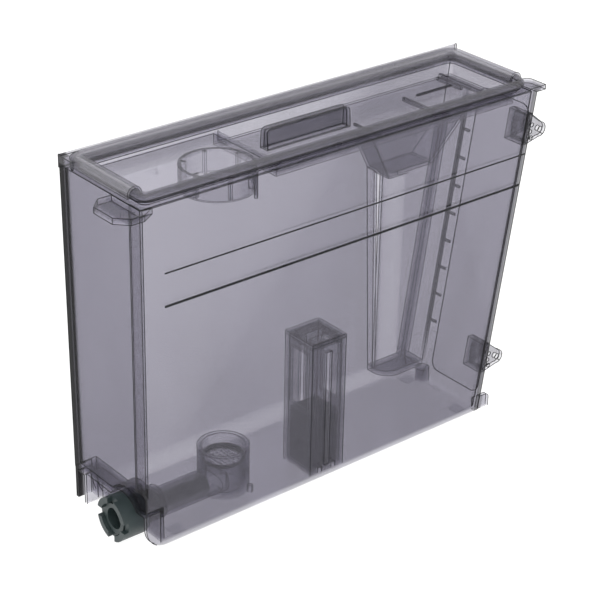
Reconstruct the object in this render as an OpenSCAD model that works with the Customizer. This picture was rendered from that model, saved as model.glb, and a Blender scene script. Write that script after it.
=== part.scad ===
// Fresh water tank of a compact drinks machine: a slim see-through shell with a recessed
// lift-off lid, a caged level float, a cartridge socket and a spring-loaded outlet coupling.
// Every module is built from the tank's own corner: x runs from the outer face of the left
// end, y from the outer front face, and z from the surface that the tank stands on.

/* [Shell] */
// Length of the shell at its rim
rim_length = 290; // [286:1:296]
// How much shorter the shell is at its floor than at its rim
end_taper = 32; // [26:1:34]
// Depth of the shell at its rim, front to back
shell_depth = 75; // [74:0.5:77]
// How much the back wall leans forward on its way down
back_taper = 3.5; // [2:0.5:5]
// Height of the ledge that the rim bead stands on
ledge_top = 212; // [210:1:216]
// Thickness of the shell's walls
wall = 2.2; // [1.8:0.1:2.4]
// Radius of the rounded lower left end
heel_radius = 14; // [12:0.5:16]
// Radius of the rounded lower back edge
keel_radius = 10; // [8:0.5:12]
// Height of the front face's lower groove
groove_low = 151; // [146:1:154]
// Height of the front face's upper groove
groove_high = 171; // [166:1:176]
// Number of fill marks on the right end
mark_count = 8; // [4:1:9]

/* [Rim and lid] */
// Radius of the round bead along the rim
bead_radius = 2.8; // [2.6:0.1:3]
// Distance of the bead's centre line from the shell's outer faces
bead_inset = 6; // [5.8:0.1:6.4]
// Wall thickness of the lid's rail
lid_wall = 1.4; // [1.2:0.1:1.6]
// Height of the top face of the lid's sunken panel
panel_top = 204.3; // [203:0.1:205]
// Height of the top face of the lid's raised left part
shelf_top = 210.8; // [209:0.1:211.4]
// Length of the lid's grip
grip_length = 61; // [54:1:66]
// Height of the lid's grip above the panel
grip_height = 12.4; // [9:0.2:13]

/* [Hand hold] */
// Left side of the hand hold in the back right corner
hold_left = 227; // [222:1:230]
// Front side of the hand hold
hold_front = 55; // [52:1:58]
// Height of the hand hold's shelf
hold_shelf = 12; // [11.5:0.5:13]
// Height of the flat part of the hand hold's roof
hold_roof = 152.5; // [148:0.5:158]

/* [Level float] */
// Outer width of the float cage
cage_width = 25.4; // [25:0.2:27]
// Height of the float cage
cage_height = 87; // [80:1:92]
// Left side of the float cage
cage_left = 120.6; // [118:0.2:124]
// Side of the square float
float_side = 20.2; // [19.6:0.1:20.6]
// Height of the float
float_height = 37; // [34:1:40]

/* [Cartridge socket] */
// Distance of the socket's axis from the left end
socket_x = 73.4; // [70:0.2:76]
// Distance of the socket's axis from the front face
socket_y = 26; // [24:0.2:28]
// Outer radius of the socket
socket_radius = 15.6; // [15:0.1:16.4]
// Height of the socket's rim
socket_top = 31; // [30:0.5:34]
// Radius of the lid's hanging collar
collar_radius = 21.8; // [20.5:0.1:22.4]
// Height of the lid's hanging collar
collar_height = 14; // [12:0.5:16]

/* [Outlet] */
// Distance of the outlet's axis from the front face
outlet_y = 22.5; // [22:0.1:24]
// Height of the outlet's axis
outlet_z = 13.9; // [13.8:0.1:15]
// Outer radius of the coupling's turning sleeve
sleeve_radius = 13.5; // [13:0.1:14]
// Radius of the coupling's mouth
mouth_radius = 6.5; // [6.2:0.1:6.8]
// How far the valve opens
valve_travel = 4; // [3:0.25:4]

/* [Brackets] */
// Radius of the hole through the two ears of each bracket
ear_hole_radius = 1.8; // [1.5:0.1:2]
// How far the ear hole stands out of the end wall
ear_reach = 13.3; // [12.5:0.1:14]
// Height of the lower edge of the upper bracket
upper_bracket_z = 175.5; // [172:0.5:178]
// Height of the lower edge of the lower bracket
lower_bracket_z = 24.5; // [22:0.5:28]

/* [Hidden] */

fine = 96;                       // facets of a full circle
cut = 1;                         // how far a cutting shape runs past the face that it opens
sink = 0.3;                      // how far a moulded-on detail is sunk into what carries it

tint = [0.62, 0.61, 0.67, 0.45];
deep_tint = [0.42, 0.41, 0.46, 0.6];
slate = [0.15, 0.19, 0.20];
graphite = [0.27, 0.28, 0.29];
steel = [0.72, 0.73, 0.75];
seal_black = [0.06, 0.06, 0.07];

// Right end wall: it leans inwards on its way down.
lean = end_taper / ledge_top;
lean_angle = atan(lean);
floor_length = rim_length - end_taper;
floor_under = 0.8;               // underside of the floor, above the feet
floor_top = floor_under + 1.8;
apron_gap = 0.2;                 // the front wall stops this far above the surface
side_lean = wall / cos(lean_angle);
function end_x(z) = floor_length + lean * z;

// Rim bead
bead_z = ledge_top + 3;
bead_right = rim_length - bead_inset;
bead_back = shell_depth - bead_inset;
bead_turn = 5.6;                 // radius of the bead's centre line at the corners
neck = 1.6;                      // thickness of the web under the bead
ledge_lip = 1.2;                 // how far the ledge passes the bead's centre line
ledge_thick = 2;

// Lid
rail_bore = bead_radius + 0.35;
rail_radius = rail_bore + lid_wall;
rail_leg = 1.8;                  // length of the rail's straight legs below its centre
rail_start = 13;                 // where the side rails end at the front
panel_thick = 2;
panel_bottom = panel_top - panel_thick;
shelf_bottom = shelf_top - panel_thick;
shelf_end = 99;                  // where the lid's raised left part ends
tray_inset = bead_inset + rail_bore;
tray_left = tray_inset;
tray_front = tray_inset;
tray_right = rim_length - tray_inset;
tray_back = bead_back - rail_bore;
collar_y = tray_front + collar_radius + 0.25;
lid_lift = 40;

// Hand hold
hold_turn = 10;                  // plan radius of the hand hold's inner corner
hold_lean = 5;                   // how far the hold's left side leans out on its way up
hold_slope_x = hold_left + 31.6; // where the roof starts to rise towards the end
post_width = 7;
post_depth = 4;

// Outlet, along x
sleeve_face = -9;
alcove_depth = 11;               // the end wall is set back this far around the coupling
alcove_radius = sleeve_radius + 1.6;
step_height = 22;                // underside of the raised left end
boss_radius = 10;
boss_bore = 7;
boss_end = 23;
flange_x = 8.2;
seal_end = 1.8;                  // recess of the mouth's sealing ring, from x = 0
seal_groove = 6;
seat_x = 5;
seat_thick = 1.5;
head_x = seat_x + seat_thick + 0.9;
head_thick = 2;
chamber_radius = 5;
retainer_x = 17.5;
stem_radius = 1.5;

// The whole part is centred on its own box.
lug_reach = 15.5;
lug_front = -5;
box_left = -lug_reach;
strip_back = shell_depth + 1;
ear_round = 4.6;
hole_rise = 7;
upper_hole_z = upper_bracket_z + hole_rise;
lower_hole_z = lower_bracket_z + hole_rise;
box_right = end_x(upper_hole_z) + ear_reach + ear_round;
origin_x = (box_left + box_right) / 2;
origin_y = (lug_front + strip_back) / 2;
module placed() { translate([-origin_x, -origin_y, 0]) children(); }

// ---- helpers ----

// Flat box with rounded upright corners, between two plan points
module round_plan(x0, y0, x1, y1, r) {
  translate([x0 + r, y0]) square([x1 - x0 - 2 * r, y1 - y0]);
  translate([x0, y0 + r]) square([x1 - x0, y1 - y0 - 2 * r]);
  for (x = [x0 + r, x1 - r], y = [y0 + r, y1 - r]) translate([x, y]) circle(r, $fn = fine);
}

// Box between two corners
module block(a, b) { translate(a) cube(b - a); }

// Stands an outline drawn in x and z up, from y0 to y1
module upright(y0, y1) { translate([0, y1, 0]) rotate([90, 0, 0]) linear_extrude(y1 - y0) children(); }

// Solid of revolution about the outlet's axis, drawn as [distance, x]
module on_outlet_axis(x = 0) {
  translate([x, outlet_y, outlet_z]) rotate([0, 90, 0]) children();
}

// Plain disc or ring about the outlet's axis
module outlet_disc(x0, x1, r) { on_outlet_axis(x0) cylinder(h = x1 - x0, r = r, $fn = fine); }
module outlet_ring(x0, x1, r_out, r_in) {
  difference() {
    outlet_disc(x0, x1, r_out);
    outlet_disc(x0 - cut, x1 + cut, r_in);
  }
}

// Round cord bent into a ring about the z axis
module cord_ring(ring_radius, cord_radius) {
  rotate_extrude($fn = fine) translate([ring_radius, 0]) circle(cord_radius, $fn = 32);
}

// ---- shell ----

// Side outline of the shell, seen from the front and shrunk by t
module side_outline(t, bottom, top) {
  right = side_lean * t / wall;
  polygon([[heel_radius, bottom], [end_x(bottom) - right, bottom], [end_x(top) - right, top],
           [heel_radius, top]]);
  translate([t, heel_radius + floor_under]) square([heel_radius, top - heel_radius - floor_under]);
  translate([heel_radius, heel_radius + floor_under]) circle(heel_radius - t, $fn = fine);
}

// End outline of the shell, drawn in y and z: the back wall leans and its lower edge is round
function back_y(z) = shell_depth - back_taper * (1 - z / ledge_top);
module end_outline(t, bottom, top) {
  r = keel_radius - t;
  lean_back = atan(back_taper / ledge_top);
  side = t / cos(lean_back);
  centre = [back_y(bottom + r) - side - r / cos(lean_back), bottom + r];
  polygon([[t, bottom], [centre[0], bottom], centre + r * [cos(lean_back), -sin(lean_back)],
           [back_y(top) - side, top], [t, top]]);
  translate(centre) circle(r, $fn = fine);
}

// Block of the shell's form, shrunk by t
module shell_block(t, bottom, top) {
  intersection() {
    upright(t, shell_depth - t) side_outline(t, bottom, top);
    rotate([90, 0, 90]) linear_extrude(rim_length + cut) end_outline(t, bottom, top);
  }
}

// Space outside the shell in the back right corner, grown by t
module hand_hold(t) {
  far = rim_length + 30;
  rise = far - hold_slope_x;
  intersection() {
    upright(hold_front - t, shell_depth + cut)
      polygon([[hold_left - t, hold_shelf - t], [far, hold_shelf - t], [far, hold_roof + rise + t],
               [hold_slope_x - t / 2, hold_roof + t], [hold_left - hold_lean - t, hold_roof + t]]);
    translate([0, 0, -cut]) linear_extrude(ledge_top) difference() {
      translate([hold_left - hold_lean - t, hold_front - t]) square([rim_length, shell_depth]);
      translate([hold_left - t, hold_front - t]) corner_spandrel(hold_turn + t);
    }
  }
}

// What a rounded inner corner leaves out of a square one, with the corner at the origin
module corner_spandrel(r) {
  difference() {
    translate([-hold_lean - cut, -cut]) square([hold_lean + cut + r, cut + r]);
    translate([r, r]) circle(r, $fn = fine);
  }
}

// Space outside the shell around the coupling, grown by t
module outlet_alcove(t, front) {
  block([-cut, front, -cut], [alcove_depth + t, shell_depth + cut, step_height + t]);
  outlet_disc(-cut, alcove_depth + t, alcove_radius + t);
}

// Bead of the rim, one run with four rounded corners
module rim_bead() {
  turn = bead_turn;
  for (x = [bead_inset, bead_right])
    translate([x, bead_inset + turn, bead_z]) rotate([-90, 0, 0])
      cylinder(h = bead_back - bead_inset - 2 * turn, r = bead_radius, $fn = fine);
  for (y = [bead_inset, bead_back])
    translate([bead_inset + turn, y, bead_z]) rotate([0, 90, 0])
      cylinder(h = bead_right - bead_inset - 2 * turn, r = bead_radius, $fn = fine);
  for (corner = [[bead_inset, bead_inset, 180], [bead_right, bead_inset, 270],
                 [bead_right, bead_back, 0], [bead_inset, bead_back, 90]])
    translate([corner[0] + (corner[0] == bead_inset ? turn : -turn),
               corner[1] + (corner[1] == bead_inset ? turn : -turn), bead_z])
      rotate(corner[2]) rotate_extrude(angle = 90, $fn = fine)
        translate([turn, 0]) circle(bead_radius, $fn = fine);
}

// Ledge, web and bead along the rim, with the strip along the back
module rim() {
  lip = bead_inset + ledge_lip;
  lip_back = bead_back - ledge_lip;
  half = neck / 2;
  turn = bead_turn;
  translate([0, 0, ledge_top - ledge_thick]) linear_extrude(ledge_thick) difference() {
    square([rim_length, shell_depth]);
    round_plan(lip, lip, rim_length - lip, lip_back, turn - ledge_lip);
  }
  translate([0, 0, ledge_top - sink]) linear_extrude(bead_z - ledge_top) difference() {
    round_plan(bead_inset - half, bead_inset - half, bead_right + half, bead_back + half, turn + half);
    round_plan(bead_inset + half, bead_inset + half, bead_right - half, bead_back - half, turn - half);
  }
  rim_bead();
  back_strip();
  corner_flange();
}

// Stiff strip along the top of the back wall, which fills the left corner behind the lid's rail
module back_strip() {
  strip = 1.7;
  strip_height = 5;
  end = rim_length + 3.5;
  block([0, strip_back - strip, ledge_top - ledge_thick], [end, strip_back, ledge_top + strip_height]);
  translate([0, strip_back - strip / 2, ledge_top + strip_height]) rotate([0, 90, 0])
    cylinder(h = end, r = strip / 2, $fn = fine);
  rail_gap = 0.35;
  turn_x = bead_inset + bead_turn;
  turn_y = bead_back - bead_turn;
  translate([0, 0, ledge_top - sink]) linear_extrude(strip_height + sink) difference() {
    translate([0, turn_y]) square([turn_x, strip_back - strip / 2 - turn_y]);
    translate([turn_x, turn_y]) circle(bead_turn + rail_radius + rail_gap, $fn = fine);
  }
}

// Small flange that the front bead ends in, past the right end
module corner_flange() {
  reach = 7;
  depth = 15;
  round = 4;
  translate([0, 0, ledge_top - ledge_thick]) linear_extrude(ledge_thick + 0.9) {
    translate([rim_length - bead_inset, 0]) square([bead_inset + reach - round, depth]);
    translate([rim_length, 0]) square([reach, depth - round]);
    translate([rim_length + reach - round, depth - round]) circle(round, $fn = fine);
  }
}

// Grab post across the open corner of the hand hold
module grab_post() {
  edge = 0.5;
  low = hold_shelf - edge;
  function roof_z(x) = hold_roof + (x - hold_slope_x) + edge * 2;
  left_top = roof_z(end_x(hold_roof + 15) - post_width - edge);
  right_top = roof_z(end_x(hold_roof + 20) - edge);
  upright(back_y(low) - post_depth, back_y(low))
    polygon([[end_x(low) - post_width - edge, low], [end_x(low) - edge, low],
             [end_x(right_top) - edge, right_top], [end_x(left_top) - post_width - edge, left_top]]);
}

// Fill marks on the outside of the right end wall
module fill_marks() {
  lowest = 41;
  highest = 170;
  mark_width = 6;
  mark_height = 1.2;
  proud = 0.9;
  for (i = [0 : mark_count - 1]) {
    z = lowest + (highest - lowest) * i / (mark_count - 1);
    translate([end_x(z), hold_front - mark_width, z]) rotate([0, lean_angle, 0])
      block([-sink, 0, -mark_height / 2], [proud, mark_width, mark_height / 2]);
  }
}

// Hood above the hand hold: a wall in the hold's front plane, wider at the top, and its left side
module hold_hood() {
  top = 181;
  left = hold_left - hold_lean;
  flare = 0.54;
  function left_x(z) = left - flare * (z - hold_roof);
  right_z = hold_roof + end_x(hold_roof) - hold_slope_x + 4;
  upright(hold_front - wall, hold_front)
    polygon([[left, hold_roof], [hold_slope_x, hold_roof], [end_x(right_z) - 1, right_z],
             [end_x(top) - 1, top], [left_x(top), top]]);
  upright(hold_front - wall, back_y(hold_roof) - 1)
    polygon([[left - 1, hold_roof], [left + wall - 1, hold_roof], [left_x(top) + wall, top],
             [left_x(top), top]]);
}

// Short column inside, between the floor and the hold's shelf at the right end
module corner_column() {
  r = 4.5;
  translate([end_x(0) - r - 0.5, hold_front - wall - r - 1, floor_top - sink])
    cylinder(h = hold_shelf - floor_top + sink, r = r, $fn = fine);
}

// Shallow raised panel on the outside of the right end wall
module end_panel() {
  proud = 0.4;
  low = 10;
  high = 200;
  left = 3.4;
  right = 46;
  turn = 6;
  intersection() {
    upright(left, right) polygon([[end_x(low) - sink, low], [end_x(low) + proud, low],
                                  [end_x(high) + proud, high], [end_x(high) - sink, high]]);
    rotate([90, 0, 90]) linear_extrude(rim_length + cut) round_plan(left, low, right, high, turn);
  }
}

// Thicker strip inside the left wall, next to the front
module corner_strip() {
  block([wall - sink, wall - sink, step_height + 12], [wall + 0.8, 13, ledge_top - ledge_thick + sink]);
}

// Two level grooves across the front face, the lower one wider and deeper
module front_grooves() {
  start = 15.5;
  low_wide = 0.7;
  low_deep = 0.6;
  high_wide = 0.3;
  high_deep = 0.3;
  block([start, -cut, groove_low], [rim_length + cut, low_deep, groove_low + low_wide]);
  block([start, -cut, groove_high], [rim_length + cut, high_deep, groove_high + high_wide]);
}

// Feet: a channel-shaped leg under the raised left end, a tab at the right end and four low pads
foot_x = heel_radius + 8;
foot_y = 5;
module feet() {
  pad = 9;
  for (x = [foot_x, floor_length - 14], y = [foot_y, back_y(keel_radius) - keel_radius - pad - 1])
    block([x, y, 0], [x + pad, y + pad, floor_under + sink]);
  leg_depth = 11;
  leg_y = back_y(0) - leg_depth;
  leg_wall = 2;
  leg_foot = 1.2;
  difference() {
    block([0, leg_y, leg_foot], [alcove_depth + sink, leg_y + leg_depth, step_height + sink]);
    block([-cut, leg_y + leg_wall, 0],
          [alcove_depth - leg_wall, leg_y + leg_depth - leg_wall, step_height - leg_wall]);
  }
  tab_round = 3;
  tab_height = 9;
  tab_reach = 9.5;
  upright(0.4, wall + 0.4) {
    translate([floor_length - 3, apron_gap]) square([tab_reach + 3, tab_height - tab_round]);
    translate([floor_length - 3, apron_gap]) square([tab_reach + 3 - tab_round, tab_height]);
    translate([floor_length + tab_reach - tab_round, apron_gap + tab_height - tab_round])
      circle(tab_round, $fn = fine);
  }
}

// Front wall carried down past the floor, with its own rounded lower left corner
module front_apron() {
  r = heel_radius;
  upright(0, wall) {
    translate([r, apron_gap]) square([floor_length - r, step_height]);
    translate([0, apron_gap + r]) square([r, step_height + wall - r]);
    translate([r, apron_gap + r]) circle(r, $fn = fine);
  }
}

module tank_body() {
  color(tint) placed() difference() {
    union() {
      difference() {
        shell_block(0, floor_under, ledge_top);
        difference() {
          shell_block(wall, floor_top, ledge_top + cut);
          hand_hold(wall);
          outlet_alcove(wall, -cut);
        }
        hand_hold(0);
        outlet_alcove(0, wall);
      }
      front_apron();
      rim();
      grab_post();
      hold_hood();
      corner_column();
      end_panel();
      corner_strip();
      fill_marks();
      feet();
      outlet_disc(alcove_depth - 1.6, boss_end, boss_radius);
    }
    outlet_disc(alcove_depth - 2, boss_end + cut, boss_bore);
    front_grooves();
  }
}

// Eight-sided locating lug at the front left corner of the rim
module corner_lug() {
  thick = 3.5;
  top = ledge_top - 0.6;
  back = 26;
  corner = 7;
  color(tint) placed() translate([0, 0, top - thick]) linear_extrude(thick)
    polygon([[sink, back], [-lug_reach + corner, back], [-lug_reach, back - corner],
             [-lug_reach, lug_front + corner], [-lug_reach + corner, lug_front],
             [-sink, lug_front], [8, sink], [sink, sink]]);
}

// Bracket of two ears joined by a web, on the leaning end wall
module bracket(z0, hole_z) {
  ear = 2.4;
  ear_front = 3.6;
  ear_back = 16.2;
  root = 19;
  web = 2.2;
  flange = 4;
  flange_thick = 2;
  hole_x = end_x(hole_z) + ear_reach;
  back = ear_back + ear;
  light_x = end_x(hole_z) + 5;
  difference() {
    union() {
      for (y = [ear_front, ear_back]) upright(y, y + ear) {
        polygon([[end_x(z0) - sink, z0], [end_x(z0) + 3, z0], [hole_x + 2.8, hole_z - ear_round + 0.9],
                 [hole_x + 1, hole_z + ear_round - 0.1], [end_x(z0 + root) + 3, z0 + root],
                 [end_x(z0 + root) - sink, z0 + root]]);
        translate([hole_x, hole_z]) circle(ear_round, $fn = fine);
      }
      for (z = [z0, z0 + root - flange_thick]) upright(ear_front, back)
        polygon([[end_x(z) - sink, z], [end_x(z) + flange, z], [end_x(z) + flange, z + flange_thick],
                 [end_x(z + flange_thick) - sink, z + flange_thick]]);
      upright(ear_front, back)
        polygon([[end_x(z0) - sink, z0], [end_x(z0) + web, z0], [end_x(z0 + root) + web, z0 + root],
                 [end_x(z0 + root) - sink, z0 + root]]);
    }
    for (y = [ear_front, ear_back]) {
      translate([hole_x, y + ear + cut, hole_z]) rotate([90, 0, 0])
        cylinder(h = ear + 2 * cut, r = ear_hole_radius, $fn = fine);
      for (z = [-4, 0.2, 4.4]) translate([light_x + abs(z) / 4, y + ear + cut, hole_z + z]) rotate([90, 0, 0])
        cylinder(h = ear + 2 * cut, r = 1.3, $fn = fine);
    }
  }
}
module upper_bracket() { color(deep_tint) placed() bracket(upper_bracket_z, upper_hole_z); }
module lower_bracket() { color(deep_tint) placed() bracket(lower_bracket_z, lower_hole_z); }

// ---- lid ----

// Section of the lid's rail: an arch open at the bottom
module rail_section() {
  difference() {
    union() {
      circle(rail_radius, $fn = fine);
      translate([-rail_radius, -rail_leg]) square([2 * rail_radius, rail_leg]);
    }
    circle(rail_bore, $fn = fine);
    translate([-rail_bore, -rail_radius - cut]) square([2 * rail_bore, rail_radius + cut]);
    translate([-rail_radius - cut, -rail_radius - cut])
      square([2 * (rail_radius + cut), rail_radius + cut - rail_leg]);
  }
}

// Rail over the bead along the left side, the back and the right side
module lid_rail() {
  turn = bead_turn;
  for (x = [bead_inset, bead_right])
    translate([x, bead_back - turn, bead_z]) rotate([90, 0, 0])
      linear_extrude(bead_back - turn - rail_start) rail_section();
  translate([bead_inset + turn, bead_back, bead_z]) rotate([90, 0, 90])
    linear_extrude(bead_right - bead_inset - 2 * turn) rail_section();
  for (side = [[bead_inset + turn, 90], [bead_right - turn, 0]])
    translate([side[0], bead_back - turn, bead_z]) rotate(side[1])
      rotate_extrude(angle = 90, $fn = fine) translate([turn, 0]) rail_section();
}

// Straight rib on the panel
module panel_rib(x0, y0, x1, y1, tall) { block([x0, y0, panel_top - sink], [x1, y1, panel_top + tall]); }

// Plan of the tray, shrunk by t, between two distances from the left end
module tray_plan(t, x0, x1) {
  inner = bead_turn - rail_bore;
  intersection() {
    round_plan(tray_left + t, tray_front + t, tray_right - t, tray_back - t, inner - t);
    translate([x0, 0]) square([x1 - x0, shell_depth]);
  }
}

// Upright wall round the tray, from the height z
module tray_wall(z, x0, x1) {
  translate([0, 0, z]) linear_extrude(bead_z - rail_leg + 1 - z) difference() {
    tray_plan(0, x0, x1);
    tray_plan(lid_wall, x0 - cut, x1 + cut);
  }
}

// Flat part of the tray, with its underside at the height z
module tray_plate(z, x0, x1, edge) {
  translate([0, 0, z]) linear_extrude(panel_thick) tray_plan(edge, x0, x1);
}

module lid() {
  rib = 1.5;
  edge = 0.5;
  tall = 2;
  low = 1;
  well_left = 225;
  well_right = 265;
  color(tint) placed() {
    tray_wall(shelf_bottom, 0, shelf_end);
    tray_wall(panel_bottom, shelf_end - panel_thick, rim_length);
    tray_plate(panel_bottom, shelf_end - panel_thick, rim_length, edge);
    tray_plate(shelf_bottom, 0, shelf_end, edge);
    block([shelf_end - panel_thick, tray_front + edge, panel_bottom], [shelf_end, tray_back - edge, shelf_top]);
    lid_rail();
    panel_rib(176, tray_front + edge, 177, 36, 1.2);
    panel_rib(well_left, 22, well_left + rib, 48, tall);
    panel_rib(well_right, 40, well_right + rib, 61, tall);
    panel_rib(well_right + 5, 22, well_right + 5 + rib, tray_back - edge, tall);
    panel_rib(well_left + 12, 48, well_right + sink, 48.8, low);
    lid_mark();
  }
}

// Plain three-sided mark on the panel
module lid_mark() {
  size = 8;
  line = 0.9;
  translate([36, shell_depth / 2, shelf_top - sink]) linear_extrude(sink + 0.5) difference() {
    polygon([[-size / 2, size / 2], [size / 2, size / 2], [0, -size / 2]]);
    polygon([[-size / 2 + 2 * line, size / 2 - line], [size / 2 - 2 * line, size / 2 - line],
             [0, -size / 2 + 2 * line]]);
  }
}

// Hollow upright grip at the middle of the panel
module lid_grip() {
  left = 112.5;
  middle = shell_depth / 2 + 2;
  thick = 7;
  top_thick = 5;
  corner = 3;
  shell = 1.4;
  top = panel_top + grip_height;
  module outline(t) {
    translate([left + t, panel_top - 2 * cut]) square([grip_length - 2 * t, grip_height + 2 * cut - corner]);
    translate([left + corner, panel_top - 2 * cut])
      square([grip_length - 2 * corner, grip_height + 2 * cut - t]);
    for (x = [left + corner, left + grip_length - corner])
      translate([x, top - corner]) circle(corner - t, $fn = fine);
  }
  module taper(t) {
    rotate([90, 0, 90]) linear_extrude(rim_length)
      polygon([[middle - thick / 2 + t, panel_top - 3 * cut], [middle + thick / 2 - t, panel_top - 3 * cut],
               [middle + top_thick / 2 - t, top + cut], [middle - top_thick / 2 + t, top + cut]]);
  }
  color(deep_tint) placed() difference() {
    intersection() {
      upright(0, shell_depth) outline(0);
      taper(0);
      block([0, 0, panel_top], [rim_length, shell_depth, top + cut]);
    }
    intersection() {
      upright(0, shell_depth) outline(shell);
      taper(shell);
      block([0, 0, panel_top - cut], [rim_length, shell_depth, top - shell]);
    }
  }
}

// Ribbed collar under the lid that steadies the top of the cartridge
module filter_collar() {
  thick = 1.5;
  rib_deep = 3;
  rib_thick = 1.2;
  rib_count = 6;
  bottom = shelf_bottom - collar_height;
  tongue_drop = 5;
  tongue_angle = 24;
  color(tint) placed() translate([socket_x, collar_y, bottom]) {
    difference() {
      cylinder(h = collar_height, r = collar_radius, $fn = fine);
      translate([0, 0, -cut]) cylinder(h = collar_height + 2 * cut, r = collar_radius - thick, $fn = fine);
    }
    for (i = [0 : rib_count - 1]) rotate(i * 360 / rib_count + 15)
      translate([collar_radius - thick - rib_deep, -rib_thick / 2, 0])
        cube([rib_deep + sink, rib_thick, collar_height]);
    rotate(-50) rotate_extrude(angle = tongue_angle, $fn = fine)
      translate([collar_radius - 1, -tongue_drop]) square([1.7, tongue_drop + 9]);
  }
}

// ---- level float ----

cage_wall = 1.8;
cage_front = wall - 0.1;
cage_floor = floor_top - 0.1;

module float_cage() {
  side = cage_width;
  window = side - 2 * 5;
  sill = 4;
  lintel = cage_height - 6;
  hollow = side - 2 * cage_wall;
  color(deep_tint) placed() translate([cage_left, cage_front, cage_floor]) difference() {
    cube([side, side, cage_height]);
    translate([cage_wall, cage_wall, cage_wall]) cube([hollow, hollow, cage_height]);
    translate([-cut, side / 2 - window / 2, cage_height / 2])
      cube([side + 2 * cut, window, lintel - cage_height / 2]);
    translate([side / 2 - 2, -cut, sill]) cube([4, side + 2 * cut, lintel - sill]);
    for (x = [6, side - 6 - 3]) translate([x, -cut, -cut]) cube([3, side + 2 * cut, sill + cut]);
  }
}

// Barred cap that closes the cage
module cage_cap() {
  side = cage_width;
  thick = 2;
  skirt = 3;
  fit = 0.05;
  bar = 2.2;
  border = 4;
  slots = 3;
  slot = (side - 2 * border - (slots - 1) * bar) / slots;
  inside = cage_wall + fit;
  skirt_wall = 1.4;
  skirt_side = side - 2 * inside;
  color(deep_tint) placed() translate([cage_left, cage_front, cage_floor + cage_height]) {
    difference() {
      cube([side, side, thick]);
      for (i = [0 : slots - 1]) translate([border, border + i * (slot + bar), -cut])
        cube([side - 2 * border, slot, thick + 2 * cut]);
    }
    translate([inside, inside, -skirt]) difference() {
      cube([skirt_side, skirt_side, skirt + sink]);
      translate([skirt_wall, skirt_wall, -cut])
        cube([skirt_side - 2 * skirt_wall, skirt_side - 2 * skirt_wall, skirt + 2 * cut + sink]);
    }
  }
}

float_gap = (cage_width - float_side) / 2;
float_low = cage_floor + cage_wall + 0.4;
magnet_radius = 4;
magnet_height = 5;

// Square float with a chamfered top and two drain grooves underneath
module float_block() {
  groove = 3;
  bevel = 1.5;
  side = float_side;
  color(graphite) placed() translate([cage_left + float_gap, cage_front + float_gap, float_low]) difference() {
    cube([side, side, float_height]);
    for (x = [4, side - 4 - groove]) translate([x, -cut, -cut]) cube([groove, side + 2 * cut, groove + cut]);
    translate([side / 2, side / 2, -cut]) cylinder(h = magnet_height + cut, r = magnet_radius, $fn = fine);
    for (turn = [0 : 90 : 270]) translate([side / 2, side / 2, float_height]) rotate(turn)
      translate([side / 2 - bevel, -side, 0]) rotate([0, 45, 0]) cube([4 * bevel, 2 * side, 4 * bevel]);
  }
}

module float_magnet() {
  color(steel) placed()
    translate([cage_left + cage_width / 2, cage_front + cage_width / 2, float_low + 0.2])
      cylinder(h = magnet_height - 0.2, r = magnet_radius - 0.02, $fn = fine);
}

// ---- cartridge socket and intake ----

socket_bore = socket_radius - 2.4;
socket_ledge = socket_top - 7;
socket_floor = floor_top + 1.8;
ring_radius = socket_bore - 0.8;    // recess of the sealing ring in the ledge
ring_hole = ring_radius - 1.2;
ring_height = 1.4;
ring_low = socket_ledge - ring_height;
strainer_thick = 1;
strainer_low = ring_low - strainer_thick - 0.1;
well_radius = ring_hole - 0.6;      // well under the strainer
tube_radius = 8.8;
tube_bore = 7.2;
tube_drop = 1.4;                    // the tube's axis lies this far below the coupling's
tube_end = socket_x - 5;

// Disc about the intake tube's axis
module tube_disc(x0, x1, r) { translate([0, 0, -tube_drop]) outlet_disc(x0, x1, r); }

// Upright disc about the socket's axis
module socket_disc(z0, z1, r) {
  translate([socket_x, socket_y, z0]) cylinder(h = z1 - z0, r = r, $fn = fine);
}

module filter_socket() {
  base = floor_top - 0.1;
  rib_height = 5;
  rib_thick = 1.6;
  color(deep_tint) placed() difference() {
    union() {
      socket_disc(base, socket_top, socket_radius);
      for (turn = [-60, 0, 60, 150]) translate([socket_x, socket_y, base]) rotate(turn)
        translate([socket_radius - 1, -rib_thick / 2, 0]) cube([4, rib_thick, rib_height]);
    }
    socket_disc(socket_ledge, socket_top + cut, socket_bore);
    socket_disc(ring_low, socket_top, ring_radius);
    socket_disc(strainer_low, socket_top, ring_hole);
    socket_disc(socket_floor, socket_top, well_radius);
    tube_disc(socket_x - socket_radius - cut, tube_end, tube_radius);
  }
}

// Soft ring in the socket's ledge that seals the cartridge's foot
module socket_seal() {
  color(seal_black) placed() difference() {
    socket_disc(ring_low, socket_ledge, ring_radius - 0.02);
    socket_disc(ring_low - cut, socket_ledge + cut, ring_hole);
  }
}

// Perforated disc above the well
module strainer() {
  hole = 0.8;
  pitch = 3;
  reach = 3;
  color(steel) placed() difference() {
    socket_disc(strainer_low, strainer_low + strainer_thick, ring_hole - 0.02);
    for (i = [-reach : reach], j = [-reach : reach])
      if (norm([i, j]) <= reach) translate([socket_x + i * pitch, socket_y + j * pitch, strainer_low - cut])
        cylinder(h = strainer_thick + 2 * cut, r = hole, $fn = 24);
  }
}

module intake_tube() {
  color(tint) placed() difference() {
    tube_disc(boss_end, tube_end, tube_radius);
    tube_disc(boss_end - cut, socket_x, tube_bore);
    socket_disc(socket_floor, socket_top, well_radius);
  }
}

// Dark mesh sleeve in the intake tube
module tube_filter() {
  color(graphite) placed() difference() {
    tube_disc(boss_end + 1, socket_x - 18, tube_bore - 0.02);
    tube_disc(boss_end, socket_x, tube_bore - 1.4);
  }
}

// ---- outlet coupling ----

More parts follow.
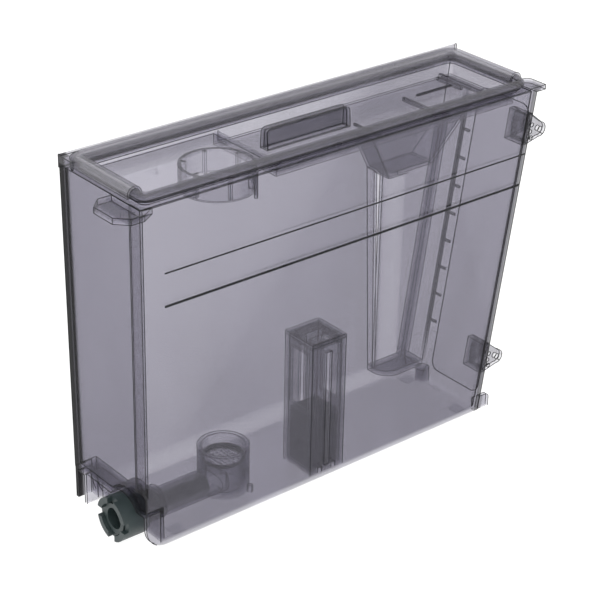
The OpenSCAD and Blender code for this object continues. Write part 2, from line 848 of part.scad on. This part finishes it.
module coupling_body() {
  neck_radius = 8;
  lip_radius = 9.3;
  lip_x = sleeve_face + 2.2;
  spigot_end = boss_end - 2;
  color(slate) placed() difference() {
    union() {
      outlet_disc(lip_x, flange_x, neck_radius);
      outlet_disc(lip_x, lip_x + 1.8, lip_radius);
      outlet_disc(flange_x, flange_x + 1.2, boss_radius);
      outlet_disc(flange_x, spigot_end, boss_bore);
    }
    outlet_disc(lip_x - cut, 0, mouth_radius);
    outlet_disc(-cut, seal_end, seal_groove);
    outlet_disc(0, seat_x, chamber_radius);
    outlet_disc(seat_x - cut, spigot_end, 3.2);
    outlet_disc(seat_x + seat_thick, spigot_end + cut, chamber_radius);
  }
}

// Turning sleeve with a castellated face
module coupling_sleeve() {
  running = 0.08;
  web_start = sleeve_face + 4.2;
  tooth_gap = 6;
  tooth_deep = 3;
  grip_count = 4;
  color(slate) placed() difference() {
    outlet_disc(sleeve_face, flange_x - 0.2, sleeve_radius);
    outlet_disc(sleeve_face - cut, web_start, 9.3 + 0.5);
    outlet_disc(web_start - cut, flange_x + cut, 8 + running);
    for (i = [0 : grip_count - 1]) on_outlet_axis(sleeve_face) rotate(i * 90)
      translate([8, -tooth_gap / 2, -cut]) cube([sleeve_radius, tooth_gap, tooth_deep + cut]);
    for (i = [0 : grip_count - 1]) on_outlet_axis(flange_x) rotate(i * 90 + 45)
      translate([sleeve_radius - 0.8, -1, -7]) cube([2, 2, 10]);
  }
}

module boss_seal() {
  cord = 0.85;
  middle = (flange_x + 1.2 + alcove_depth) / 2 - 0.15;
  color(seal_black) placed() on_outlet_axis(middle) cord_ring(boss_radius + 1.2, cord);
}

module mouth_seal() {
  cord = seal_end / 2;
  color(seal_black) placed() on_outlet_axis(cord) cord_ring(seal_groove - cord, cord);
}

// Three-spoked guide for the front of the poppet's stem
module valve_guide() {
  x0 = seal_end + 0.4;
  x1 = x0 + 2;
  color(graphite) placed() {
    outlet_ring(x0, x1, chamber_radius, chamber_radius - 1);
    outlet_ring(x0, x1, stem_radius + 1, stem_radius + 0.08);
    for (i = [0 : 2]) on_outlet_axis(x0) rotate(i * 120) translate([stem_radius + 0.6, -0.5, 0])
      cube([chamber_radius - stem_radius - 1.1, 1, x1 - x0]);
  }
}

module valve_poppet() {
  color(slate) placed() {
    outlet_disc(0.4, retainer_x + 0.6, stem_radius);
    outlet_disc(head_x, head_x + head_thick, 4.4);
  }
}

// Soft washer on the head that closes the seat
module valve_seal() {
  color(seal_black) placed() outlet_ring(seat_x + seat_thick + 0.05, head_x, 4.2, stem_radius);
}

// Perforated disc that the spring pushes against
module spring_retainer() {
  color(graphite) placed() difference() {
    outlet_ring(retainer_x, retainer_x + 1.5, chamber_radius, stem_radius + 0.08);
    for (i = [0 : 5]) on_outlet_axis(retainer_x) rotate(i * 60) translate([3.3, 0, -cut])
      cylinder(h = 1.5 + 2 * cut, r = 0.9, $fn = 24);
  }
}

// Closing spring: a helix swept with an eight-sided wire
module valve_spring() {
  wire = 0.35;
  coil = 3.2;
  turns = 5;
  steps = 24;
  sides = 8;
  x0 = head_x + head_thick + wire;
  x1 = retainer_x - wire - 0.1;
  count = turns * steps;
  function ring(i) = [for (k = [0 : sides - 1])
    let (a = 360 * i / steps, w = 360 * k / sides, r = coil + wire * cos(w))
    [r * cos(a), r * sin(a), (x1 - x0) * i / count + wire * sin(w)]];
  points = [for (i = [0 : count]) each ring(i)];
  sides_faces = [for (i = [0 : count - 1], k = [0 : sides - 1])
    let (a = i * sides + k, b = i * sides + (k + 1) % sides) [a, a + sides, b + sides, b]];
  first_cap = [[for (k = [0 : sides - 1]) k]];
  last_cap = [[for (k = [sides - 1 : -1 : 0]) count * sides + k]];
  color(steel) placed() on_outlet_axis(x0) polyhedron(points, concat(sides_faces, first_cap, last_cap));
}

tank_body();
corner_lug();
upper_bracket();
lower_bracket();
lid();
lid_grip();
filter_collar();
float_cage();
cage_cap();
float_block();
float_magnet();
filter_socket();
socket_seal();
strainer();
intake_tube();
tube_filter();
coupling_body();
coupling_sleeve();
boss_seal();
mouth_seal();
valve_guide();
valve_poppet();
valve_seal();
valve_spring();
spring_retainer();
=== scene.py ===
"""Looks of a see-through water tank: smoked plastic, satin coupling, soft rings, bright steel."""

import math

import bmesh
import bpy
from mathutils import Matrix, Vector


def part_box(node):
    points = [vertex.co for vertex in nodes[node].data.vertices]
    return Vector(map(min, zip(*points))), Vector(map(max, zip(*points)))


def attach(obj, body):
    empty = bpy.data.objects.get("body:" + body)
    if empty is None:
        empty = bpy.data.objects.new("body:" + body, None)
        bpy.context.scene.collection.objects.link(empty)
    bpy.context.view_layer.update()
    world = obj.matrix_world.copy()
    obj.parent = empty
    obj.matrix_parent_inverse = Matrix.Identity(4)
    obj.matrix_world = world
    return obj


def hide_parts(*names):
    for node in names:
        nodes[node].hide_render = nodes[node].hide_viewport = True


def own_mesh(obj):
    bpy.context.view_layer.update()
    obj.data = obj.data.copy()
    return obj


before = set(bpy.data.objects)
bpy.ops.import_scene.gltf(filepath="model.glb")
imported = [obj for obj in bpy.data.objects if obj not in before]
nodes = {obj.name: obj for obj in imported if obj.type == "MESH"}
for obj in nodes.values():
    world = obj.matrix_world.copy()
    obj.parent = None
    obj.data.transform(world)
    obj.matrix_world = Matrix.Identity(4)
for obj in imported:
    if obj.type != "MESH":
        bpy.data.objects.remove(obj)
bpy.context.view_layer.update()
scene = bpy.context.scene
MM = 0.001

SHELL_LEFT = -0.143974           # left end and front face of the shell, in metres
SHELL_FRONT = -0.0355
SHELL_FOOT_LENGTH = 258 * MM     # its length and depth where the walls meet the floor
SHELL_FOOT_DEPTH = 71.5 * MM
HOLD_DEPTH = 55 * MM             # from the front face to the front wall of the hand hold
RIGHT_LEAN = 32 / 212            # how far the right end and the back lean out per unit of height
BACK_LEAN = 3.5 / 212

# Upright lines where two walls of the shell meet, darkened by a band of painted shade, in metres: x and y at
# the foot and the middle height, how far x and y move per metre of height, half the size of the painted shade
# band, and its shade.
BACK_LEFT_CORNER_SHADE = ((SHELL_LEFT, SHELL_FRONT + SHELL_FOOT_DEPTH, 0.1), (0, BACK_LEAN),
                    (0.0048, 0.0048, 0.2), 0.16)
FRONT_RIGHT_CORNER_SHADE = ((SHELL_LEFT + SHELL_FOOT_LENGTH, SHELL_FRONT, 0.1), (RIGHT_LEAN, 0),
                      (0.0036, 0.0036, 0.2), 0.6)
HOLD_CORNER_SHADE = ((SHELL_LEFT + SHELL_FOOT_LENGTH, SHELL_FRONT + HOLD_DEPTH, 0.104), (RIGHT_LEAN, 0),
               (0.0028, 0.0024, 0.094), 0.13)
BAND_SOFTNESS = 0.72             # share of a band's half size that keeps its full shade


# ---- node helpers ----

class Tree:
    """A material's node tree, with short calls for adding and linking nodes."""

    def __init__(self, name):
        self.material = bpy.data.materials.new(name)
        self.material.use_nodes = True
        self.tree = self.material.node_tree
        self.tree.nodes.clear()
        self.output = self.add("ShaderNodeOutputMaterial")

    def add(self, kind, **settings):
        node = self.tree.nodes.new(kind)
        for key, value in settings.items():
            if key.startswith("i_"):
                node.inputs[key[2:].replace("_", " ")].default_value = value
            else:
                setattr(node, key, value)
        return node

    def link(self, source, target):
        self.tree.links.new(source, target)

    def point(self):
        return self.add("ShaderNodeTexCoord").outputs["Object"]

    def noise(self, scale, detail=3.0, roughness=0.5, stretch=(1, 1, 1)):
        """Noise in the row frame, with scale in cycles per metre."""
        mapping = self.add("ShaderNodeMapping")
        mapping.inputs["Scale"].default_value = stretch
        self.link(self.point(), mapping.inputs["Vector"])
        node = self.add("ShaderNodeTexNoise", i_Scale=scale, i_Detail=detail, i_Roughness=roughness)
        self.link(mapping.outputs["Vector"], node.inputs["Vector"])
        return node.outputs["Fac"]

    def spread(self, source, low, high, start=0.3, end=0.7):
        """Maps a 0 to 1 value onto low to high."""
        node = self.add("ShaderNodeMapRange")
        for key, value in (("From Min", start), ("From Max", end), ("To Min", low), ("To Max", high)):
            node.inputs[key].default_value = value
        self.link(source, node.inputs["Value"])
        return node.outputs["Result"]

    def math(self, operation, a, b):
        node = self.add("ShaderNodeMath", operation=operation)
        for slot, value in ((0, a), (1, b)):
            if isinstance(value, (int, float)):
                node.inputs[slot].default_value = value
            else:
                self.link(value, node.inputs[slot])
        return node.outputs[0]

    def ramp(self, source, stops):
        node = self.add("ShaderNodeValToRGB")
        elements = node.color_ramp.elements
        while len(elements) < len(stops):
            elements.new(0.5)
        for element, (place, color) in zip(elements, stops):
            element.position = place
            element.color = (*color, 1)
        self.link(source, node.inputs["Fac"])
        return node.outputs["Color"]

    def bump(self, height, strength, distance):
        node = self.add("ShaderNodeBump", i_Strength=strength, i_Distance=distance)
        self.link(height, node.inputs["Height"])
        return node.outputs["Normal"]

    def mix(self, factor, first, second):
        node = self.add("ShaderNodeMixShader")
        if isinstance(factor, (int, float)):
            node.inputs[0].default_value = factor
        else:
            self.link(factor, node.inputs[0])
        self.link(first, node.inputs[1])
        self.link(second, node.inputs[2])
        return node.outputs[0]

    def tinted(self, color, factor):
        """Multiplies a colour by a grey factor."""
        node = self.add("ShaderNodeVectorMath", operation="SCALE")
        self.link(color, node.inputs[0])
        self.link(factor, node.inputs["Scale"])
        return node.outputs[0]

    def painted_corner_shade(self, foot, lean, half_size, shade):
        """Painted shade: a grey factor that falls to a darker shade next to an upright line where two walls
        meet.
        """
        split = self.add("ShaderNodeSeparateXYZ")
        self.link(self.point(), split.inputs[0])
        z = split.outputs[2]
        reach = []
        for axis in (0, 1, 2):
            line = foot[axis]
            if axis < 2:
                line = self.math("ADD", self.math("MULTIPLY", z, lean[axis]), line)
            away = self.math("ABSOLUTE", self.math("SUBTRACT", split.outputs[axis], line), 0)
            reach.append(self.math("DIVIDE", away, half_size[axis]))
        furthest = self.math("MAXIMUM", self.math("MAXIMUM", reach[0], reach[1]), reach[2])
        return self.spread(furthest, shade, 1.0, BAND_SOFTNESS, 1.0)

    def surface(self, shader):
        self.link(shader, self.output.inputs["Surface"])
        return self.material


# ---- materials ----

HAZE_SHARE = 0.012               # how much of the light the plastic scatters
GRAZING = (0.66, 0.97)           # how far a face turns away before the long way through it darkens it
GRAZING_SHADE = 0.4
RIM_HEIGHTS = (0.2122, 0.2132)   # the thick rim starts to scatter light between these, in metres
PALE_RIM = 0.14                  # how much it scatters
MIRROR_SHARE = 0.25              # how much of a clear surface's full mirror gloss shows
MIRROR_IOR = 1.4
FLOW_SCALE = 14                  # cycles per metre of the moulding's slow waves and of fine scuffs
SCUFF_SCALE = 260
EDGE_SOLID_SHARE = 0.45          # how much of a painted-shade edge bar is opaque


def smoked_plastic(name, absorb, density, scale_shift, painted_shade_lines=(), pale_rim=0.0):
    """Clear moulded plastic with a smoky tint: it darkens with the length of plastic looked through."""
    t = Tree(name)
    flow = t.noise(FLOW_SCALE + scale_shift, 2.0, 0.55, (1, 1, 0.35))
    scuff = t.noise(SCUFF_SCALE + scale_shift, 3.0, 0.65, (1, 1, 0.15))

    see_through = t.add("ShaderNodeBsdfTransparent")
    clear = t.ramp(flow, ((0.25, (0.965, 0.965, 0.97)), (0.75, (1, 1, 1))))
    turned = t.add("ShaderNodeLayerWeight", i_Blend=0.5)
    clear = t.tinted(clear, t.spread(turned.outputs["Facing"], 1.0, GRAZING_SHADE, *GRAZING))
    # painted shade: darker bands along the shell's upright corners
    for line in painted_shade_lines:
        clear = t.tinted(clear, t.painted_corner_shade(*line))
    t.link(clear, see_through.inputs["Color"])

    haze = t.add("ShaderNodeBsdfPrincipled")
    t.link(t.ramp(scuff, ((0.3, (0.40, 0.39, 0.42)), (0.75, (0.54, 0.53, 0.56)))),
           haze.inputs["Base Color"])
    t.link(t.spread(scuff, 0.3, 0.5), haze.inputs["Roughness"])
    share = t.math("MULTIPLY", t.spread(scuff, 0.7, 1.4), HAZE_SHARE)
    if pale_rim:
        split = t.add("ShaderNodeSeparateXYZ")
        t.link(t.point(), split.inputs[0])
        share = t.math("ADD", share, t.spread(split.outputs[2], 0.0, pale_rim, *RIM_HEIGHTS))
    plastic = t.mix(share, see_through.outputs[0], haze.outputs[0])

    gloss = t.add("ShaderNodeBsdfGlossy")
    gloss.inputs["Color"].default_value = (0.97, 0.97, 0.98, 1)
    t.link(t.spread(scuff, 0.03, 0.1), gloss.inputs["Roughness"])
    t.link(t.bump(flow, 0.12, 0.0004), gloss.inputs["Normal"])
    mirror = t.add("ShaderNodeFresnel")
    mirror.inputs["IOR"].default_value = MIRROR_IOR
    t.surface(t.mix(t.math("MULTIPLY", mirror.outputs[0], MIRROR_SHARE), plastic, gloss.outputs[0]))

    smoke = t.add("ShaderNodeVolumeAbsorption")
    smoke.inputs["Color"].default_value = (*absorb, 1)
    smoke.inputs["Density"].default_value = density
    t.link(smoke.outputs[0], t.output.inputs["Volume"])
    return t.material


def painted_edge_material(name):
    """Painted shade for the small fillets of the clear mouldings: dark, partly opaque colour standing in for
    the light they bend away.
    """
    t = Tree(name)
    flow = t.noise(55, 3.0, 0.6)
    see_through = t.add("ShaderNodeBsdfTransparent")
    t.link(t.ramp(flow, ((0.3, (0.10, 0.10, 0.11)), (0.7, (0.30, 0.30, 0.32)))), see_through.inputs["Color"])
    solid = t.add("ShaderNodeBsdfPrincipled")
    t.link(t.ramp(flow, ((0.3, (0.03, 0.03, 0.032)), (0.7, (0.08, 0.08, 0.085)))), solid.inputs["Base Color"])
    t.link(t.spread(flow, 0.25, 0.4), solid.inputs["Roughness"])
    return t.surface(t.mix(EDGE_SOLID_SHARE, see_through.outputs[0], solid.outputs[0]))


def satin_plastic(name, dark, light, rough, grain):
    """Opaque moulded plastic with a fine spark-eroded grain and worn, slightly shinier patches."""
    t = Tree(name)
    cloud = t.noise(60, 4.0, 0.6)
    texture = t.noise(grain, 3.0, 0.6)
    wear = t.noise(240, 5.0, 0.7)
    shader = t.add("ShaderNodeBsdfPrincipled")
    t.link(t.ramp(t.math("ADD", t.math("MULTIPLY", cloud, 0.7), t.math("MULTIPLY", texture, 0.3)),
                  ((0.3, dark), (0.7, light))), shader.inputs["Base Color"])
    t.link(t.spread(wear, rough - 0.1, rough + 0.1), shader.inputs["Roughness"])
    t.link(t.bump(texture, 0.35, 0.00012), shader.inputs["Normal"])
    return t.surface(shader.outputs[0])


def soft_rubber(name):
    """Matt black moulded rubber with a faint bloom."""
    t = Tree(name)
    bloom = t.noise(420, 5.0, 0.65)
    shader = t.add("ShaderNodeBsdfPrincipled")
    t.link(t.ramp(bloom, ((0.3, (0.012, 0.012, 0.013)), (0.75, (0.035, 0.035, 0.037)))),
           shader.inputs["Base Color"])
    t.link(t.spread(bloom, 0.55, 0.8), shader.inputs["Roughness"])
    t.link(t.bump(t.noise(3000, 2.0), 0.2, 0.00005), shader.inputs["Normal"])
    return t.surface(shader.outputs[0])


def bright_steel(name):
    """Drawn or rolled stainless steel with fine lines."""
    t = Tree(name)
    lines = t.noise(900, 3.0, 0.6, (1, 0.08, 1))
    shader = t.add("ShaderNodeBsdfPrincipled")
    shader.inputs["Metallic"].default_value = 1.0
    t.link(t.ramp(lines, ((0.3, (0.5, 0.5, 0.51)), (0.7, (0.68, 0.68, 0.69)))), shader.inputs["Base Color"])
    t.link(t.spread(lines, 0.2, 0.38), shader.inputs["Roughness"])
    t.link(t.bump(lines, 0.15, 0.00004), shader.inputs["Normal"])
    return t.surface(shader.outputs[0])


SMOKE = (0.36, 0.34, 0.43)
DEEP_SMOKE = (0.36, 0.35, 0.40)
# corner lines whose bands of painted shade darken the shell's see-through colour
PAINTED_CORNER_SHADES = (BACK_LEFT_CORNER_SHADE, HOLD_CORNER_SHADE, FRONT_RIGHT_CORNER_SHADE)
smoke = smoked_plastic("smoke", SMOKE, 270, 0, PAINTED_CORNER_SHADES, PALE_RIM)
lid_smoke = smoked_plastic("lid_smoke", SMOKE, 150, 3, pale_rim=PALE_RIM)
clear_smoke = smoked_plastic("clear_smoke", SMOKE, 140, 5)
deep_smoke = smoked_plastic("deep_smoke", DEEP_SMOKE, 250, 7)
# edge fillet colour: painted shade standing in for the light the fillets bend away
edge_painted_shade = painted_edge_material("edge_painted_shade")
slate = satin_plastic("slate", (0.016, 0.026, 0.027), (0.034, 0.050, 0.051), 0.45, 2600)
graphite = satin_plastic("graphite", (0.026, 0.028, 0.030), (0.046, 0.049, 0.052), 0.6, 1200)
rubber = soft_rubber("seal_rubber")
steel = bright_steel("steel")

LOOKS = {
    smoke: ["tank_body"],
    lid_smoke: ["lid", "filter_collar"],
    clear_smoke: ["corner_lug", "intake_tube", "filter_socket"],
    deep_smoke: ["lid_grip", "float_cage", "cage_cap", "upper_bracket", "lower_bracket"],
    slate: ["coupling_body", "coupling_sleeve", "valve_poppet"],
    graphite: ["float_block", "tube_filter", "valve_guide", "spring_retainer"],
    rubber: ["socket_seal", "boss_seal", "mouth_seal", "valve_seal"],
    steel: ["float_magnet", "strainer", "valve_spring"],
}
for material, names in LOOKS.items():
    for name in names:
        mesh = nodes[name].data
        mesh.materials.clear()
        mesh.materials.append(material)

# Moulded edges of the opaque pieces are slightly rounded, by these radii in millimetres.
ROUNDED = {"coupling_sleeve": 0.45, "coupling_body": 0.3, "float_block": 0.4}
BEVEL_ANGLE = math.radians(35)
for name, radius in ROUNDED.items():
    bevel = nodes[name].modifiers.new("edge_round", "BEVEL")
    bevel.width = radius * MM
    bevel.segments = 2
    bevel.limit_method = "ANGLE"
    bevel.angle_limit = BEVEL_ANGLE
    bevel.use_clamp_overlap = True


# ---- small fillets along the crisp edges of the clear mouldings, painted dark as shade ----

EDGE_SIDES = 4
SHARP = math.radians(28)
SAME_POINT = 2e-6                # corners closer than this are one corner, in metres
SHORTEST_EDGE = 1e-5
OVERRUN = 0.4                    # how far a bar runs past its edge, in radii
FLOOR_LINE = 0.0032              # no fillets below this height, where the edges lie on the surface
MARK_LOW, MARK_HIGH = 0.2107, 0.2116  # heights of the lid's faint mark, which has none either
LID_PIECES = ("lid", "lid_grip", "filter_collar")
# Radius in millimetres of each clear piece's fillets, and a material slot name.
FILLETS = {
    "tank_body": (0.24, "smoke"), "corner_lug": (0.22, "smoke"), "upper_bracket": (0.26, "deep_smoke"),
    "lower_bracket": (0.26, "deep_smoke"), "float_cage": (0.2, "deep_smoke"),
    "cage_cap": (0.16, "deep_smoke"), "filter_socket": (0.22, "deep_smoke"),
    "intake_tube": (0.12, "smoke"), "lid": (0.18, "smoke"), "lid_grip": (0.2, "deep_smoke"),
    "filter_collar": (0.14, "smoke"),
}


def fillets(name, radius):
    """Thin bars along every crisp edge of a clear piece, in painted edge shade, as one mesh that rides with
    it.
    """
    source = bmesh.new()
    source.from_mesh(nodes[name].data)
    bmesh.ops.remove_doubles(source, verts=source.verts, dist=SAME_POINT)
    place = nodes[name].matrix_world
    points, faces = [], []
    for edge in source.edges:
        if len(edge.link_faces) != 2 or edge.calc_face_angle(0) < SHARP:
            continue
        start, end = (place @ vertex.co for vertex in edge.verts)
        along = end - start
        faint = name == "lid" and min(start.z, end.z) > MARK_LOW and max(start.z, end.z) < MARK_HIGH
        if along.length < SHORTEST_EDGE or max(start.z, end.z) < FLOOR_LINE or faint:
            continue
        along.normalize()
        side = along.orthogonal().normalized()
        over = along.cross(side)
        first = len(points)
        for end_point in (start - along * radius * OVERRUN, end + along * radius * OVERRUN):
            for i in range(EDGE_SIDES):
                turn = math.tau * i / EDGE_SIDES
                points.append(end_point + (side * math.cos(turn) + over * math.sin(turn)) * radius)
        for i in range(EDGE_SIDES):
            j = (i + 1) % EDGE_SIDES
            faces.append((first + i, first + j, first + EDGE_SIDES + j, first + EDGE_SIDES + i))
        faces.append(tuple(first + EDGE_SIDES - 1 - i for i in range(EDGE_SIDES)))
        faces.append(tuple(first + EDGE_SIDES + i for i in range(EDGE_SIDES)))
    source.free()
    mesh = bpy.data.meshes.new(name + "_fillets")
    mesh.from_pydata(points, [], faces)
    mesh.materials.append(edge_painted_shade)
    piece = bpy.data.objects.new(name + "_fillets", mesh)
    scene.collection.objects.link(piece)
    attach(piece, "lid" if name in LID_PIECES else "tank")


for name, (radius, slot) in FILLETS.items():
    fillets(name, radius * MM)


# ---- closing spring, which shortens as the valve opens; built here at one fixed length ----

WIRE = 0.35 * MM                 # radius of the wire
SPRING_TURNS = 5
CLOSED_TURNS = 0.75              # how much of each end lies flat
FLAT_PITCH = 2.04                # from turn to turn there, in wire radii
STEPS_PER_TURN = 36
WIRE_SIDES = 10


def closing_spring():
    """Helical spring with flat ends in place of the CAD node, fixed to the tank."""
    low, high = (Vector(corner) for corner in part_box("valve_spring"))
    coil = (high.z - low.z) / 2 - WIRE
    middle = (low + high) / 2
    first, last = low.x + WIRE, high.x - WIRE
    flat_pitch = WIRE * FLAT_PITCH
    free_pitch = (last - first - 2 * CLOSED_TURNS * flat_pitch) / (SPRING_TURNS - 2 * CLOSED_TURNS)
    points, faces = [], []
    count = SPRING_TURNS * STEPS_PER_TURN
    for i in range(count + 1):
        turn = i / STEPS_PER_TURN
        flat_turns = min(turn, CLOSED_TURNS) + max(0.0, turn - SPRING_TURNS + CLOSED_TURNS)
        x = first + flat_turns * flat_pitch + (turn - flat_turns) * free_pitch
        around = math.tau * turn
        for k in range(WIRE_SIDES):
            across = math.tau * k / WIRE_SIDES
            radius = coil + WIRE * math.cos(across)
            points.append((x + WIRE * math.sin(across), middle.y + radius * math.cos(around),
                           middle.z + radius * math.sin(around)))
    for i in range(count):
        for k in range(WIRE_SIDES):
            a, b = i * WIRE_SIDES + k, i * WIRE_SIDES + (k + 1) % WIRE_SIDES
            faces.append((a, b, b + WIRE_SIDES, a + WIRE_SIDES))
    faces.append(tuple(reversed(range(WIRE_SIDES))))
    faces.append(tuple(range(count * WIRE_SIDES, (count + 1) * WIRE_SIDES)))
    mesh = bpy.data.meshes.new("closing_spring")
    mesh.from_pydata(points, [], faces)
    mesh.materials.append(steel)
    for polygon in mesh.polygons:
        polygon.use_smooth = True
    piece = bpy.data.objects.new("closing_spring", mesh)
    scene.collection.objects.link(piece)
    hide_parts("valve_spring")
    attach(piece, "tank")
    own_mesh(piece)


closing_spring()


# ---- floor, light and camera ----

FLOOR_HALF = 12.0
FLOOR_DROP = 0.2 * MM            # the floor lies just under the feet
FLOOR_GLOW = 1.04


def floor_material():
    t = Tree("studio_floor")
    speck = t.noise(3, 3.0)
    shader = t.add("ShaderNodeBsdfPrincipled", i_Roughness=0.9)
    pale = t.ramp(speck, ((0.3, (0.90, 0.90, 0.90)), (0.7, (0.93, 0.93, 0.93))))
    t.link(t.ramp(speck, ((0.3, (0.18, 0.18, 0.18)), (0.7, (0.20, 0.20, 0.20)))),
           shader.inputs["Base Color"])
    t.link(pale, shader.inputs["Emission Color"])
    shader.inputs["Emission Strength"].default_value = FLOOR_GLOW
    return t.surface(shader.outputs[0])


floor_mesh = bpy.data.meshes.new("floor")
floor_mesh.from_pydata([(-FLOOR_HALF, -FLOOR_HALF, 0), (FLOOR_HALF, -FLOOR_HALF, 0),
                        (FLOOR_HALF, FLOOR_HALF, 0), (-FLOOR_HALF, FLOOR_HALF, 0)], [], [(0, 1, 2, 3)])
floor_mesh.materials.append(floor_material())
floor = bpy.data.objects.new("floor", floor_mesh)
floor.location.z = -FLOOR_DROP
scene.collection.objects.link(floor)


def area_light(name, place, aim, size, power):
    data = bpy.data.lights.new(name, "AREA")
    data.shape = "DISK"
    data.size = size
    data.energy = power
    lamp = bpy.data.objects.new(name, data)
    lamp.location = place
    lamp.rotation_euler = (Vector(aim) - Vector(place)).to_track_quat("-Z", "Y").to_euler()
    scene.collection.objects.link(lamp)


MIDDLE = (0, 0, 0.1)
area_light("key", (-0.9, -1.1, 2.0), MIDDLE, 1.6, 14)
area_light("fill", (1.8, -0.8, 1.2), MIDDLE, 1.8, 7)
area_light("back", (0.6, 1.8, 1.6), MIDDLE, 1.8, 8)

world = bpy.data.worlds.new("studio")
world.use_nodes = True
sky = world.node_tree.nodes["Background"]
sky.inputs["Color"].default_value = (1, 1, 1, 1)
sky.inputs["Strength"].default_value = 0.95
scene.world = world
scene.view_settings.view_transform = "Standard"
scene.cycles.transparent_max_bounces = 64
scene.cycles.max_bounces = 6

SENSOR_WIDTH, LENS = 36, 113.65  # in millimetres
CAMERA_PLACE = Vector((-0.6445, -0.7648, 0.6199))
AZIMUTH, ELEVATION, ROLL = (math.radians(a) for a in (-39.85, 27.45, 1.19))
back = Vector((math.sin(AZIMUTH) * math.cos(ELEVATION), -math.cos(AZIMUTH) * math.cos(ELEVATION),
               math.sin(ELEVATION)))
right = Vector((math.cos(AZIMUTH), math.sin(AZIMUTH), 0))
up = back.cross(right)
turned_right = right * math.cos(ROLL) + up * math.sin(ROLL)
turned_up = up * math.cos(ROLL) - right * math.sin(ROLL)
camera_data = bpy.data.cameras.new("camera")
camera_data.sensor_width = SENSOR_WIDTH
camera_data.lens = LENS
camera = bpy.data.objects.new("camera", camera_data)
camera_turn = Matrix((turned_right, turned_up, back)).transposed().to_4x4()
camera.matrix_world = Matrix.Translation(CAMERA_PLACE) @ camera_turn
scene.collection.objects.link(camera)
scene.camera = camera
